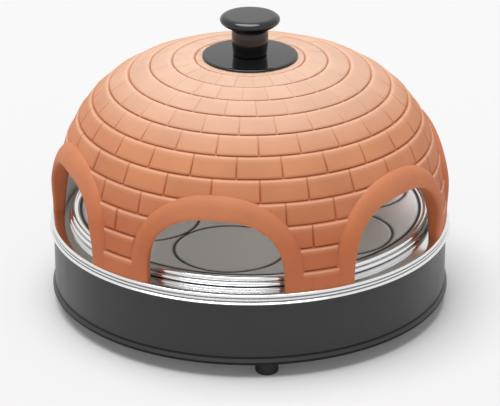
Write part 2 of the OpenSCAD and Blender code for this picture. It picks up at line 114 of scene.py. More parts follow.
def rounded(corners, radius, steps=4):
    """A closed outline, whose corners off the axis are cut by small arcs of about that radius."""
    outline = []
    for i, corner in enumerate(corners):
        here = mathutils.Vector(corner)
        if here.x < 1e-6:
            outline.append(here)
            continue
        before = mathutils.Vector(corners[i - 1]) - here
        after = mathutils.Vector(corners[(i + 1) % len(corners)]) - here
        reach = min(radius, before.length * 0.45, after.length * 0.45)
        start = here + before.normalized() * reach
        end = here + after.normalized() * reach
        for k in range(steps + 1):
            t = k / steps
            outline.append((1 - t) ** 2 * start + 2 * t * (1 - t) * here + t * t * end)
    return outline


def closed_mesh(name, work):
    """The finished mesh of a closed form, with its faces outward."""
    mesh = bpy.data.meshes.new(name)
    bmesh.ops.recalc_face_normals(work, faces=work.faces)
    work.to_mesh(mesh)
    work.free()
    return mesh


def lathe_mesh(name, outline, centre=(0, 0), segments=256):
    """An outline of (radius, height) in millimetres, turned about a vertical axis."""
    work = bmesh.new()
    rings = []
    for radius, height in outline:
        if radius < 1e-6:
            rings.append([work.verts.new((centre[0] / 1000, centre[1] / 1000, height / 1000))])
            continue
        ring = []
        for k in range(segments):
            a = 2 * math.pi * k / segments
            x = centre[0] + radius * math.cos(a)
            y = centre[1] + radius * math.sin(a)
            ring.append(work.verts.new((x / 1000, y / 1000, height / 1000)))
        rings.append(ring)
    for i, ring in enumerate(rings):
        other = rings[(i + 1) % len(rings)]
        if len(ring) == 1 and len(other) == 1:
            continue
        for k in range(segments):
            n = (k + 1) % segments
            if len(ring) == 1:
                work.faces.new((ring[0], other[n], other[k]))
            elif len(other) == 1:
                work.faces.new((ring[k], ring[n], other[0]))
            else:
                work.faces.new((ring[k], ring[n], other[n], other[k]))
    return closed_mesh(name, work)


def finished(name, mesh, material, body, replaced, crease=35):
    """A smooth-shaded piece that rides on its body, in place of the CAD nodes it stands for."""
    mesh.materials.clear()
    mesh.materials.append(material)
    mesh.shade_smooth()
    mesh.set_sharp_from_angle(angle=math.radians(crease))
    piece = bpy.data.objects.new(name, mesh)
    bpy.context.scene.collection.objects.link(piece)
    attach(piece, body)
    if replaced:
        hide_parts(*replaced)


def polar(azimuth, radius):
    """Place in plan: azimuths count in degrees from the front towards +X."""
    a = math.radians(azimuth)
    return radius * math.sin(a), -radius * math.cos(a)


base_turn = 5
foot_circle_r = 182

# The hollow and the screw's bore stay sharp, and take the place of the last corner
foot_outline = rounded([(5, 0), (10, 0), (11, 2), (11, 16), (5, 16)], 1.4)[:-5]
foot_outline += [(2.2, 16), (2.2, 6), (5, 6)]

# Natural rubber, moulded: nearly black and dull, with a fine grain
rubber = new_material(
    "moulded_black_rubber",
    {"Base Color": linear("#17171a"), "Roughness": 0.62, "Specular IOR Level": 0.4},
)
grain_bump(rubber, 0.8, 0.05)

for i, foot_name in enumerate(("foot_front", "foot_right", "foot_back", "foot_left")):
    foot_centre = polar(base_turn + i * 90, foot_circle_r)
    foot_mesh = lathe_mesh(foot_name + "_button", foot_outline, foot_centre, 48)
    finished(foot_name + "_button", foot_mesh, rubber, "base", [foot_name])


# ---- Bottom pan and its hardware ----
# A flat pressed pan closes the base from below. It is galvanised sheet with
# punched vent slots, and hangs on four spot-welded brackets by short screws.

def mottle(material, socket, low, high, size_mm):
    """A slow change of one number or colour over the surface, from low to high."""
    tree = material.node_tree
    place = add_node(tree, "ShaderNodeTexCoord").outputs["Object"]
    cloud = add_node(tree, "ShaderNodeTexNoise", {"Vector": place, "Scale": 1000 / size_mm})
    if isinstance(low, str):
        spread = add_node(tree, "ShaderNodeValToRGB", {"Fac": cloud.outputs["Fac"]})
        ends = spread.color_ramp.elements
        ends[0].position, ends[0].color = 0.3, linear(low)
        ends[1].position, ends[1].color = 0.7, linear(high)
    else:
        span = {"From Min": 0.3, "From Max": 0.7, "To Min": low, "To Max": high}
        spread = add_node(tree, "ShaderNodeMapRange", {"Value": cloud.outputs["Fac"], **span})
    feed(material, socket, spread.outputs[0])


def paint(material, *nodes):
    """Gives that material to CAD nodes that are shown as they are."""
    for name in nodes:
        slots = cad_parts[name].data.materials
        slots.clear()
        slots.append(material)


# Galvanised sheet: dull grey zinc with soft patches
zinc_sheet = new_material("galvanised_sheet", {"Metallic": 0.85, "Roughness": 0.5})
mottle(zinc_sheet, "Base Color", "#8b8d90", "#a7a9ab", 14)
grain_bump(zinc_sheet, 2.5, 0.02)
paint(zinc_sheet, "bottom_pan", "pan_brackets")

# Zinc-plated steel: bright screws and nuts, slightly clouded
plated = new_material("zinc_plated_steel", {"Metallic": 1.0})
mottle(plated, "Base Color", "#b4b5b4", "#cfd0cd", 3)
mottle(plated, "Roughness", 0.25, 0.42, 2)
paint(plated, "pan_screws", "foot_screws", "foot_nuts")


# ---- Outer housing ----
# The drum of the base is rolled from one steel strip, flared outwards at its
# lower edge and folded in at the top, then powder coated in satin black.

housing_foot = 14
crease_up = 6.4
crease_half = 1.1
edge_up = 1.1
edge_half = 1.4

# Satin black powder coat over steel: a dense black with a soft, even sheen. Its
# reflection is turned down in the crease above the flare and at the flare's edge, as painted shade
powder_coat = new_material("satin_black_powder_coat", {"Base Color": linear("#1d1e20")})
powder_tree = powder_coat.node_tree
powder_place = add_node(powder_tree, "ShaderNodeTexCoord").outputs["Object"]
powder_height = add_node(powder_tree, "ShaderNodeSeparateXYZ", {0: powder_place}).outputs["Z"]
crease_painted_shade = add_node(
    powder_tree,
    "ShaderNodeMath",
    {0: powder_height, 1: (housing_foot + crease_up) / 1000, 2: crease_half / 1000},
    operation="COMPARE",
)
edge_painted_shade = add_node(
    powder_tree,
    "ShaderNodeMath",
    {0: powder_height, 1: (housing_foot + edge_up) / 1000, 2: edge_half / 1000},
    operation="COMPARE",
)
# Painted shade: crease and flare edge reflect less, so they read as dark lines
powder_painted_shade = add_node(
    powder_tree, "ShaderNodeMath", {0: crease_painted_shade, 1: edge_painted_shade}, operation="MAXIMUM"
)
powder_gloss = add_node(
    powder_tree, "ShaderNodeMapRange", {"Value": powder_painted_shade, "To Min": 0.5, "To Max": 0.1}
)
feed(powder_coat, "Specular IOR Level", powder_gloss.outputs["Result"])
mottle(powder_coat, "Roughness", 0.33, 0.4, 30)
grain_bump(powder_coat, 0.9, 0.012)
paint(powder_coat, "outer_housing")


# ---- Trim ring ----
# A spun stainless ring caps the housing. The dome stands on its flat ledge, and
# its edge carries two rolled grooves and a flared lip. Polished bright.

trim_outline = rounded(
    [(176.2, 86), (195.6, 86), (196.7, 85.6), (197.2, 84.6), (197.2, 83.5), (196.5, 82.8)]
    + [(196.3, 82.3), (196.5, 81.8), (197.2, 81.2), (197.2, 80.2), (196.5, 79.5), (196.3, 79)]
    + [(196.8, 78.6), (198.8, 77.6), (198.8, 76.8), (197.8, 76.8), (195.6, 78.6)]
    + [(195.6, 84.2), (195, 84.9), (176.2, 84.9)],
    0.6,
    2,
)
groove_radii = (196, 196.85)
groove_heights = (78.5, 83)
trim_mesh = lathe_mesh("trim_ring_spun", trim_outline)
# Marks the rolled grooves, where the steel is painted darker as painted shade
grooved = trim_mesh.attributes.new("grooved", "FLOAT", "POINT")
for k, vertex in enumerate(trim_mesh.vertices):
    in_radius = groove_radii[0] < 1000 * math.hypot(vertex.co.x, vertex.co.y) < groove_radii[1]
    in_height = groove_heights[0] < 1000 * vertex.co.z < groove_heights[1]
    grooved.data[k].value = in_radius and in_height

# Polished stainless steel: a bright mirror, a little cloudier in some places.
# The rolled grooves are painted darker, as painted shade that draws them as dark lines
polished = new_material("polished_stainless_steel", {"Metallic": 1.0})
mottle(polished, "Roughness", 0.09, 0.16, 20)
groove_painted_shade = add_node(polished.node_tree, "ShaderNodeAttribute", attribute_name="grooved")
polished_colour = add_node(
    polished.node_tree,
    "ShaderNodeMix",
    {0: groove_painted_shade.outputs["Fac"], 6: linear("#e9eaea"), 7: linear("#8c8b8b")},
    data_type="RGBA",
)
feed(polished, "Base Color", polished_colour.outputs[2])
finished("trim_ring_spun", trim_mesh, polished, "base", ["trim_ring"], 50)


# ---- Reflector bowl and heat shield ----
# A deep-drawn stainless bowl holds the lower heating ring and throws its heat
# up. Its rolled rim hangs on the ledge of the trim and carries the plate. A thin
# aluminium shield is screwed on under it, on spacers.

def arc(centre, radius, angles):
    """Points (radius, height) round a centre, where 0 degrees is outwards and 90 is up."""
    turns = [math.radians(a) for a in angles]
    return [(centre[0] + radius * math.cos(t), centre[1] + radius * math.sin(t)) for t in turns]


bowl_centre = (168.8, 64)
bowl_corner_r = 6
sheet = 1
bowl_outline = (
    [(0, 58)]
    + arc(bowl_centre, bowl_corner_r, range(-90, 1, 10))
    + arc((177, 88.2), 2.2, range(160, -111, -15))
    + [(175.8, 85)]
    + arc(bowl_centre, bowl_corner_r + sheet, range(0, -91, -10))
    + [(0, 57)]
)
bowl_mesh = lathe_mesh("reflector_bowl_drawn", bowl_outline)
finished(
    "reflector_bowl_drawn", bowl_mesh, polished, "base", ["reflector_bowl"], 50
)

# Mill-finish aluminium: pale and dull, with soft patches
mill_aluminium = new_material("mill_aluminium", {"Metallic": 1.0, "Roughness": 0.38})
mottle(mill_aluminium, "Base Color", "#b9babb", "#cacbcc", 25)
paint(mill_aluminium, "heat_shield", "shield_spacers")
paint(plated, "shield_screws")


# ---- Heating elements ----
# Two steel-sheathed tubular heaters, bent to nearly closed rings. Their legs go
# down through ceramic bushings in the bowl, and heat has turned the steel dark.

tube_r = 3.3
leg_gap = 14
bend_r = 12
leg_end_z = 44


def element_path(ring_r, ring_z, leg_r, leg_azimuth):
    """Centre line of a heater: up one leg, round the ring and down the other, in millimetres."""
    bend_mid = math.sqrt((ring_r + bend_r) ** 2 - (leg_gap + bend_r) ** 2)
    tangent = math.degrees(math.atan2(leg_gap + bend_r, bend_mid))
    run_end = leg_r - bend_r
    half = [(leg_r, leg_gap, leg_end_z), (leg_r, leg_gap, ring_z - bend_r)]
    for a in range(10, 91, 10):
        r = math.radians(a)
        rise = bend_r * math.sin(r)
        half.append((run_end + bend_r * math.cos(r), leg_gap, ring_z - bend_r + rise))
    for a in range(0, 11):
        r = math.radians(270 - (90 - tangent) * a / 10)
        x = bend_mid + bend_r * math.cos(r)
        half.append((x, leg_gap + bend_r + bend_r * math.sin(r), ring_z))
    ring = []
    for k in range(1, 120):
        r = math.radians(tangent + (360 - 2 * tangent) * k / 120)
        ring.append((ring_r * math.cos(r), ring_r * math.sin(r), ring_z))
    points = half + ring + [(x, -y, z) for x, y, z in reversed(half)]
    turn = mathutils.Matrix.Rotation(math.radians(leg_azimuth - 90), 3, "Z")
    return [turn @ mathutils.Vector(p) for p in points]


def tube_mesh(name, points, radius, sides=20):
    """A round tube along points, in millimetres, closed by a flat disc at each end."""
    work = bmesh.new()
    rings = []
    across = mathutils.Vector((1, 0, 0))
    for i, point in enumerate(points):
        ahead = points[min(i + 1, len(points) - 1)]
        forward = (ahead - points[max(i - 1, 0)]).normalized()
        across = (across - forward * across.dot(forward)).normalized()
        side = forward.cross(across)
        ring = []
        for k in range(sides):
            a = 2 * math.pi * k / sides
            place = point + radius * (math.cos(a) * across + math.sin(a) * side)
            ring.append(work.verts.new(place / 1000))
        rings.append(ring)
    for ring, other in zip(rings, rings[1:]):
        for k in range(sides):
            n = (k + 1) % sides
            work.faces.new((ring[k], ring[n], other[n], other[k]))
    work.faces.new(rings[0])
    work.faces.new(rings[-1])
    return closed_mesh(name, work)


# Heat-tinted steel sheath: brown-grey and dull, a little uneven
sheath = new_material("heat_tinted_steel", {"Metallic": 0.9})
mottle(sheath, "Base Color", "#4a4543", "#6a625c", 12)
mottle(sheath, "Roughness", 0.32, 0.5, 9)

for ring_name, ring_r, ring_z, leg_r, leg_azimuth in (
    ("upper_heating_element", 122.5, 134, 163, 200),
    ("lower_heating_element", 118, 72, 150, 230),
):
    path = element_path(ring_r, ring_z, leg_r, leg_azimuth)
    ring_mesh = tube_mesh(ring_name + "_tube", path, tube_r)
    finished(ring_name + "_tube", ring_mesh, sheath, "base", [ring_name])

# Steatite: a fine, unglazed white ceramic
steatite = new_material("unglazed_steatite", {"Roughness": 0.7})
mottle(steatite, "Base Color", "#e2ddd0", "#efebe1", 5)
grain_bump(steatite, 0.6, 0.03)
paint(steatite, "element_bushings")
paint(plated, "lower_element_clips", "upper_element_bracket")


# ---- Controls and internal wiring ----
# Thermostat, fuse and terminal block sit between the bowl and the pan, and are
# joined by sleeved leads. None of them shows from outside.

# Moulded melamine: warm cream, slightly glossy
melamine = new_material("moulded_melamine", {"Roughness": 0.45})
mottle(melamine, "Base Color", "#cfc6ae", "#dbd3bd", 8)
paint(melamine, "thermostat", "terminal_block")
paint(mill_aluminium, "thermal_fuse")

# Silicone-varnished glass-fibre sleeve: matt, with a fine tooth
for sleeve_name, sleeve_low, sleeve_high, lead_names in (
    (
        "brown_glass_fibre_sleeve",
        "#5f3f28",
        "#75502f",
        ["switch_lead", "live_lead", "element_lead"],
    ),
    ("blue_glass_fibre_sleeve", "#2c4f7c", "#3b6298", ["neutral_lead"]),
    ("green_glass_fibre_sleeve", "#4d7f31", "#6a9a3f", ["earth_lead"]),
):
    sleeve = new_material(sleeve_name, {"Roughness": 0.75})
    mottle(sleeve, "Base Color", sleeve_low, sleeve_high, 2)
    grain_bump(sleeve, 0.8, 0.08)
    paint(sleeve, *lead_names)


# ---- Cord gland and rocker switch ----
# The mains cord leaves through a rubber gland at the back, held by a nylon nut.
# Beside it a nylon bezel carries a red rocker that tilts on its own pin.

paint(rubber, "cord_gland")

# Moulded nylon: satin black with a fine sparked texture
nylon = new_material("moulded_black_nylon", {"Base Color": linear("#1f1f21"), "Roughness": 0.48})
grain_bump(nylon, 0.5, 0.03)
paint(nylon, "gland_nut", "switch_housing")

# Tinted polycarbonate: glossy deep red
rocker_red = new_material(
    "red_polycarbonate",
    {"Base Color": linear("#9c1519"), "Coat Weight": 0.4, "Coat Roughness": 0.08},
)
mottle(rocker_red, "Roughness", 0.18, 0.26, 6)
paint(rocker_red, "switch_rocker")


# ---- Baking plate ----
# A stainless plate, pressed with one shallow circle for each pizza and rolled
# over at its rim. It lies loose on the bowl's rim, under the dome.

plate_z = 94
plate_flat_r = 170
circles = 6
first_circle = -10
circle_ring_r = 110
circle_r = 53.5
circle_width = 1.3
border_r = 168
border_width = 1.4
groove_depth = 0.9
groove_shade_depth = 0.6
plate_segments = 480


def groove_at(x, y):
    """Depth of the pressed circles and of the border inside the rim, at a point of the plate."""
    off = abs(math.hypot(x, y) - border_r)
    depth = math.exp(-((off / border_width) ** 2))
    for k in range(circles):
        cx, cy = polar(first_circle + 360 / circles * k, circle_ring_r)
        off = abs(math.hypot(x - cx, y - cy) - circle_r)
        depth += math.exp(-((off / circle_width) ** 2))
    return groove_depth * depth


bead = arc((174.5, 92.5), 2.5, range(143, -181, -12)) + [(170, 92.5), (170, plate_z)]
finished(
    "baking_plate_rim",
    lathe_mesh("baking_plate_rim", bead),
    polished,
    "plate",
    [],
    50,
)

work = bmesh.new()
plate_rings = []
for radius in (0.01, *range(1, plate_flat_r + 1)):
    ring = []
    for k in range(plate_segments):
        a = 2 * math.pi * k / plate_segments
        x = radius * math.cos(a)
        y = radius * math.sin(a)
        ring.append(work.verts.new((x / 1000, y / 1000, (plate_z - groove_at(x, y)) / 1000)))
    plate_rings.append(ring)
for inner, outer in zip(plate_rings, plate_rings[1:]):
    for k in range(plate_segments):
        n = (k + 1) % plate_segments
        work.faces.new((inner[k], outer[k], outer[n], inner[n]))
# The smallest ring closes to one point in the middle
bmesh.ops.remove_doubles(work, verts=work.verts, dist=0.04 / 1000)
plate_mesh = bpy.data.meshes.new("baking_plate_pressed")
work.to_mesh(plate_mesh)
work.free()
# How deep a point lies in a pressed line, which sets the painted shade there
painted_groove_shade = plate_mesh.attributes.new("painted_groove_shade", "FLOAT", "POINT")
for k, vertex in enumerate(plate_mesh.vertices):
    painted_groove_shade.data[k].value = min(1, (plate_z - 1000 * vertex.co.z) / groove_shade_depth)

# Satin stainless steel: rolled sheet, whose fine finish softens what it mirrors.
# The pressed lines are painted dark, as painted shade
satin = new_material("satin_stainless_steel", {"Metallic": 1.0})
mottle(satin, "Roughness", 0.42, 0.5, 30)
satin_groove_shade = add_node(satin.node_tree, "ShaderNodeAttribute", attribute_name="painted_groove_shade")
satin_colour = add_node(
    satin.node_tree,
    "ShaderNodeMix",
    {0: satin_groove_shade.outputs["Fac"], 6: linear("#fafaf9"), 7: linear("#3f3c3a")},
    data_type="RGBA",
)
feed(satin, "Base Color", satin_colour.outputs[2])
finished("baking_plate_pressed", plate_mesh, satin, "plate", ["baking_plate"])


# ---- Knob ----
# Gasket, flange and grip are stacked on the dome's crown and drawn together by
# one screw from inside, into a brass insert. Flange and grip are glossy black.

flange_outline = rounded(
    [(2.8, 249.7), (45.6, 249.7), (46.7, 250.4), (46.3, 251.6), (44.1, 251.9)]
    + [(17.9, 252.3), (2.8, 252.3)],
    0.7,
)
grip_outline = rounded(
    [(0, 252.3), (16.5, 252.3), (16.7, 256.3), (17.5, 262.3), (17.9, 271), (17.9, 277)]
    + [(18.3, 278.6), (19.7, 280), (22, 281.1), (24.9, 282.4), (27.2, 284), (28.7, 285.6)]
    + [(29.3, 287.2), (29, 288.8), (28.1, 290.1), (26.6, 291.2), (24.8, 291.8), (22.8, 292)]
    + [(0, 292)],
    1.2,
    3,
)

# Phenolic resin, moulded and polished: deep black and glassy
phenolic = new_material(
    "polished_black_phenolic", {"Base Color": linear("#0d0d0e"), "Specular IOR Level": 0.55}
)
mottle(phenolic, "Roughness", 0.06, 0.1, 15)
for knob_name, knob_outline, knob_node in (
    ("knob_flange_disc", flange_outline, "knob_flange"),
    ("knob_grip_turned", grip_outline, "knob_grip"),
):
    knob_mesh = lathe_mesh(knob_name, knob_outline, segments=128)
    finished(knob_name, knob_mesh, phenolic, "dome", [knob_node], 60)

# Pressed mica: grey-brown and flecked
mica = new_material("pressed_mica", {"Roughness": 0.55})
mottle(mica, "Base Color", "#9a9282", "#b5ad9b", 3)
paint(mica, "knob_gasket")

# Turned brass: yellow and bright
brass = new_material("turned_brass", {"Metallic": 1.0})
mottle(brass, "Base Color", "#b8954a", "#c9a860", 4)
mottle(brass, "Roughness", 0.2, 0.35, 3)
paint(brass, "knob_insert")
paint(plated, "knob_screw", "knob_washer")


# ---- Terracotta dome ----
# The dome is one casting of red clay, fired unglazed. Its outside is pressed as
# courses of bricks, and a rolled band frames each of the six arched windows.

ledge_z = 86
seat_z = 249.2
dome_mid_z = 37.3
dome_r = 196
dome_rise = 213
dome_power = 3
wall = 11
seat_inner_r = 40
bore_r = 4
boss_r = 16
boss_z = 237.8


def dome_radius(z, inset=0):
    """Radius of the dome's curve at a height, drawn in by an inset."""
    u = min(1, max(0, (z - dome_mid_z) / (dome_rise - inset)))
    return (dome_r - inset) * (1 - u**dome_power) ** (1 / dome_power)


def curve_points(step=0.25):
    """Points (length, radius, height) up the curve from its foot, and in over the flat seat."""
    points = [(0, dome_radius(ledge_z), ledge_z)]
    z = ledge_z
    while z < seat_z:
        z = min(seat_z, z + step)
        length, radius, height = points[-1]
        new_radius = dome_radius(z)
        points.append((length + math.hypot(new_radius - radius, z - height), new_radius, z))
    while points[-1][1] > seat_inner_r:
        length, radius, height = points[-1]
        points.append((length + step, radius - step, seat_z))
    return points


dome_curve = curve_points()
seat_length = next(length for length, _, z in dome_curve if z >= seat_z)


def on_curve(length):
    """Radius, height and outward normal of the dome's curve at a length from its foot."""
    low, high = 0, len(dome_curve) - 1
    while high - low > 1:
        middle = (low + high) // 2
        if dome_curve[middle][0] < length:
            low = middle
        else:
            high = middle
    a, b = dome_curve[low], dome_curve[high]
    t = (length - a[0]) / (b[0] - a[0])
    rise = (b[2] - a[2]) / (b[0] - a[0])
    run = (b[1] - a[1]) / (b[0] - a[0])
    return a[1] + (b[1] - a[1]) * t, a[2] + (b[2] - a[2]) * t, rise, -run


def ramp(value, start, end):
    """0 before the start, 1 past the end, and even between."""
    return min(1, max(0, (value - start) / (end - start)))


# Windows and bands are worked out on one sector, whose window faces -Y. An arch
# has a half width, a top and the power of its curve, all above one spring line
windows = 6
half_sector = 180 / windows
window_azimuth = -10
spring_z = 98
window_arch = (64.5, 155, 2.5)
band_arch = (82.5, 176.5, 2.2)
band_low = 0.6
band_proud = 4.4
band_rise = 42


def arch_outside(sideways, z, half_w, top, power):
    """Above 0 outside an arch outline and below 0 inside it, about in millimetres."""
    if z <= spring_z:
        return abs(sideways) - half_w
    span = top - spring_z
    scale = (abs(sideways / half_w) ** power + ((z - spring_z) / span) ** power) ** (1 / power)
    return (scale - 1) * min(half_w, span)


def arch_point(turn, half_w, top, power):
    """Sideways place and height on an arch outline, where turn runs from 0 to 180."""
    c = math.cos(math.radians(turn))
    s = math.sin(math.radians(turn))
    x = math.copysign(half_w * abs(c) ** (2 / power), c)
    return x, spring_z + (top - spring_z) * max(0, s) ** (2 / power)


def band_relief(z):
    """How far the bands stand out of the wall at a height."""
    rise = ramp(z, ledge_z, ledge_z + band_rise)
    return band_low + band_proud * rise * rise * (3 - 2 * rise)


# Upright joints are placed and measured in degrees round the dome, and those of
# even and odd courses are half a brick apart
course_h = 22.3
first_course_h = 19.9
bricks_round = 24
brick_turn = 360 / bricks_round
first_joint = (13.1, 5.6)
half_joint_turn = 0.34

# A course leans out towards its top edge, and falls off into the joints below and
# above it. Upright joints are shallower than level ones, and more so higher up
joint_depth = 1.6
brick_tuck = 0.25
brick_lean = 1.2
below_slope = 0.85
above_slope = 2.2
upright_share = 0.8
upright_loss = 0.5
upright_fade = (110, 170)
bridge_share = 0.65


def beside_joint(azimuth, course):
    """The brick that an azimuth is on in a course, and 0 to 1 away from its upright joint."""
    across = (azimuth - first_joint[course % 2]) * bricks_round / 360
    brick = math.floor(across + 1e-6)
    part = across - brick
    return brick, min(1, min(part, 1 - part) * brick_turn / half_joint_turn)


def brick_relief(azimuth, length):
    """Height in millimetres of the brickwork, with the course and brick that a point is on."""
    if length < first_course_h:
        course = 0
        up = length + course_h - first_course_h
    else:
        course = 1 + int((length - first_course_h + 1e-6) / course_h)
        up = (length - first_course_h) - (course - 1) * course_h
    brick, side = beside_joint(azimuth, course)
    if course == 0:
        side = 1
    lean = brick_lean * (up / course_h) ** 3 - brick_tuck
    mortar = min(1, up / below_slope, (course_h - up) / above_slope)
    height = (lean + joint_depth) * mortar - joint_depth
    upright = upright_share - upright_loss * ramp(length, *upright_fade)
    height -= upright * joint_depth * (1 - side) * mortar
    # An upright joint's own mortar bridges the level joint at its end
    bridge = 1 - (side if up < course_h / 2 else beside_joint(azimuth, course + 1)[1])
    height += bridge_share * bridge * (1 - mortar) * joint_depth
    # Under the knob's flange the clay is flat
    shown = 1 - ramp(length, seat_length - 1, seat_length + 1)
    return height * shown, course, brick, side * mortar * shown


def sector_columns():
    """Azimuths from a window's middle, crowding at every upright joint."""
    columns = []
    joint = first_joint[1] - 2.5 * brick_turn
    while joint < half_sector:
        for offset in (-0.5, -0.17, 0, 0.17, 0.5, 1.7, 2.9, 4.1, 5.3, 6.4):
            if abs(joint + offset) < half_sector - 0.2:
                columns.append(joint + offset)
        joint += brick_turn / 2
    return [-half_sector] + columns + [half_sector]


def sector_rows():
    """Lengths up the curve, crowding at every level joint."""
    rows = [0, 1.5, 5, 9.5, 12.6, 15.8]
    joint = first_course_h
    last = dome_curve[-1][0]
    while joint < last:
        for offset in (-2.3, -1.5, -0.7, 0, 0.4, 0.85, 3, 7, 11, 15, 18.2):
            if joint + offset < last - 0.6:
                rows.append(joint + offset)
        joint += course_h
    return rows + [last]


def turned(azimuth, radius, z):
    """A point from its azimuth, radius and height."""
    return *polar(azimuth, radius), z


def sideways_of(azimuth, radius):
    """Distance from the window's middle plane."""
    return polar(azimuth, radius)[0]


dome_mesh = bpy.data.meshes.new("terracotta_sector")
work = bmesh.new()
layers = {
    name: work.verts.layers.float.new(name)
    for name in ("course", "brick", "firm", "inside", "joint", "painted_highlight")
}


def clipped_sheet(columns, rows, place, keep, mark=None):
    """Adds a grid of faces to the mesh, cut off where keep() falls below 0."""
    made = {}

    def corner(c, r):
        key = (round(c, 5), round(r, 5))
        if key not in made:
            made[key] = work.verts.new([v / 1000 for v in place(c, r)])
            if mark:
                mark(made[key], c, r)
        return made[key]

    def crossing(a, b):
        inside, outside = (a, b) if keep(*a) >= 0 else (b, a)
        for _ in range(14):
            middle = ((inside[0] + outside[0]) / 2, (inside[1] + outside[1]) / 2)
            if keep(*middle) >= 0:
                inside = middle
            else:
                outside = middle
        return inside

    for low, high in zip(rows, rows[1:]):
        for left, right in zip(columns, columns[1:]):
            ring = [(left, low), (right, low), (right, high), (left, high)]
            kept = [keep(*p) >= 0 for p in ring]
            outline = []
            for k in range(4):
                n = (k + 1) % 4
                if kept[k]:
                    outline.append(ring[k])
                if kept[k] != kept[n]:
                    outline.append(crossing(ring[k], ring[n]))
            verts = []
            for p in outline:
                vert = corner(*p)
                if vert not in verts:
                    verts.append(vert)
            if len(verts) > 2 and not work.faces.get(verts):
                work.faces.new(verts)


# The bricks outside, up to the bands, which cover the sheet's cut edge
band_cover = 1.5
firm_fade = 5
dust_and_shade_depths = (0.4, joint_depth - 0.5)
highlight_below_top = 2.5
highlight_half = 2.1


def brick_place(azimuth, length):
    radius, z, out, up = on_curve(length)
    height = brick_relief(azimuth, length)[0]
    return turned(azimuth, radius + out * height, z + up * height)


def brick_keep(azimuth, length):
    radius, z, _, _ = on_curve(length)
    half_w, top, power = band_arch
    half_w, top = half_w - band_cover, top - band_cover
    return arch_outside(sideways_of(azimuth, radius), z, half_w, top, power)


def mark_brick(vert, azimuth, length):
    """Firm clay moves as one brick, joints darken with depth as dust and painted shade, and top
    edges carry a painted highlight.
    """
    height, course, brick, firm = brick_relief(azimuth, length)
    radius, z, _, _ = on_curve(length)
    clear = arch_outside(sideways_of(azimuth, radius), z, *band_arch)
    to_top = course_h - (length - first_course_h) % course_h
    vert[layers["course"]] = course
    vert[layers["brick"]] = brick
    vert[layers["firm"]] = firm * ramp(clear, 0, firm_fade)
    # Joints darken with their depth, as dust and painted shade
    vert[layers["joint"]] = ramp(-height, *dust_and_shade_depths)
    # Painted highlight along each brick's top edge
    vert[layers["painted_highlight"]] = firm * max(0, 1 - abs(to_top - highlight_below_top) / highlight_half)


clipped_sheet(sector_columns(), sector_rows(), brick_place, brick_keep, mark_brick)


# The inside, up to the windows, and the boss under the knob
inner_step = 1.5
inner_row_count = 44


def inner_place(azimuth, z):
    return turned(azimuth, dome_radius(z, wall), z)


def inner_keep(azimuth, z):
    return arch_outside(sideways_of(azimuth, dome_radius(z, wall)), z, *window_arch)


def mark_inside(vert, azimuth, z):
    vert[layers["inside"]] = 1


boss_share = (boss_r / (dome_r - wall)) ** dome_power
inner_top = dome_mid_z + (dome_rise - wall) * (1 - boss_share) ** (1 / dome_power)
inner_turns = [math.radians(k * 90 / inner_row_count) for k in range(inner_row_count + 1)]
inner_rows = [ledge_z + (inner_top - ledge_z) * math.sin(turn) for turn in inner_turns]
inner_columns = [half_sector - k * inner_step for k in range(int(360 / windows / inner_step) + 1)]
clipped_sheet(inner_columns, inner_rows, inner_place, inner_keep, mark_inside)
crown = [
    (boss_r, inner_top),
    (boss_r, boss_z),
    (bore_r, boss_z),
    (bore_r, seat_z),
    (dome_curve[-1][1], seat_z),
]
clipped_sheet(
    inner_columns,
    list(range(len(crown))),
    lambda azimuth, row: turned(azimuth, *crown[row]),
    lambda azimuth, row: 1,
)


# The rolled band round the window: a lip inside the wall, a rounded arris at the
# window's edge, a flat face, and a rounded fall that ends inside the wall
band_lip = ((4, 1.5), (2.2, -0.15), (1.2, -0.05), (0.35, 0.5), (0, 1.5), (0, 4.5))
arris_r = 4.2
face_steps = (0.34, 0.45, 0.55, 0.65, 0.74, 0.82, 0.88, 0.93, 0.97, 0.99, 1.0)
fall_start = 0.4
edge_sink = 0.9
root_out = 0.6
root_deep = 3


def band_rail():
    """Pairs of points along a band: on the window's edge and on the band's outer edge."""
    feet = [ledge_z, ledge_z + 3, ledge_z + 6, ledge_z + 9]
    edge_w, outer_w = window_arch[0], band_arch[0]
    pairs = [((edge_w, z), (outer_w, z)) for z in feet]
    for k in range(61):
        pairs.append((arch_point(3 * k, *window_arch), arch_point(3 * k, *band_arch)))
    return pairs + [((-edge_w, z), (-outer_w, z)) for z in reversed(feet)]


def band_section(edge, outer):
    """Places (sideways, radius, height) round a band's section."""
    span = math.hypot(outer[0] - edge[0], outer[1] - edge[1])
    section = []

    def add(mm, inset, proud, share=0):
        """A point so far across the band, and so far out of the inner or outer wall."""
        t = mm / span
        x = edge[0] + (outer[0] - edge[0]) * t
        z = max(ledge_z, edge[1] + (outer[1] - edge[1]) * t)
        section.append((x, dome_radius(z, inset) + share * band_relief(z) + proud, z))

    for mm, proud in band_lip:
        add(mm, wall, proud)
    for k in range(7):
        a = math.radians(15 * k)
        add(arris_r * (1 - math.cos(a)), 0, -arris_r * (1 - math.sin(a)), 1)
    for t in face_steps:
        share = (1 - ramp(t, fall_start, 1) ** 3) ** 0.55
        add(span * t, 0, -edge_sink * (1 - share), share)
    add(span + root_out, 0, -root_deep)
    return section


sections = []
for edge, outer in band_rail():
    ring = []
    for x, radius, z in band_section(edge, outer):
        y = -math.sqrt(radius * radius - x * x)
        ring.append(work.verts.new((x / 1000, y / 1000, z / 1000)))
    sections.append(ring)
for ring, other in zip(sections, sections[1:]):
    for k in range(len(ring)):
        n = (k + 1) % len(ring)
        work.faces.new((ring[k], other[k], other[n], ring[n]))
work.faces.new(sections[0])
work.faces.new(list(reversed(sections[-1])))


